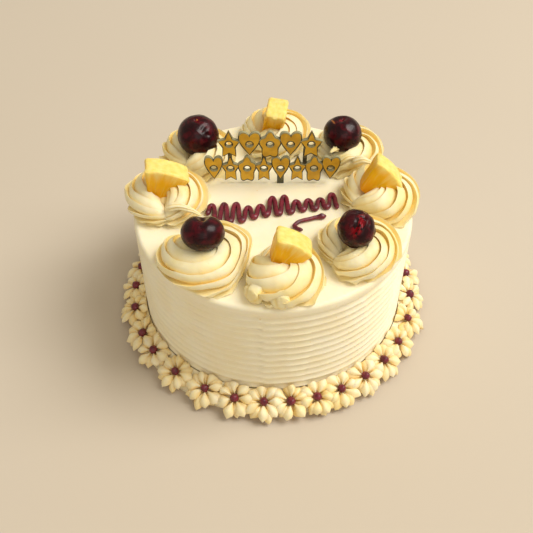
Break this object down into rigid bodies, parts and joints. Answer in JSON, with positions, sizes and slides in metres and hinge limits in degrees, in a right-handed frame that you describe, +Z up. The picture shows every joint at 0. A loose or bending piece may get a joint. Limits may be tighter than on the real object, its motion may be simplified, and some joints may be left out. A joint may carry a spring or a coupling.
{
  "type": "pineapple cake",
  "caption": "Round cream cake with a combed side, a ring of piped rosettes that hold cherries and pineapple pieces, a cut-out gold topper and a border of small piped flowers.",
  "frame": {"origin": "centre of the cake's flat underside", "axes": "+Z up; the side with the piping faces -Y, and +X is to its right"},
  "size_m": [0.1919, 0.1937, 0.1173],
  "materials": {
    "cream": "soft satin, as whipped cream",
    "cherry": "wet gloss",
    "pineapple": "moist and slightly see-through",
    "gold": "gold foil on thin card, dark at its edges",
    "icing": "satin"
  },
  "bodies": {
    "root": {"cake_body": "cream", "flower_border": "cream", "rosette_back": "cream", "rosette_back_right": "cream", "rosette_right": "cream", "rosette_front_right": "cream", "rosette_front": "cream", "rosette_front_left": "cream", "rosette_left": "cream", "rosette_back_left": "cream", "cherry_back_right": "cherry", "cherry_front_right": "cherry", "cherry_front_left": "cherry", "cherry_back_left": "cherry", "pineapple_back": "pineapple", "pineapple_right": "pineapple", "pineapple_front": "pineapple", "pineapple_left": "pineapple", "topper": "gold", "piping": "icing", "piped_underline": "icing"}
  },
  "joints": []
}
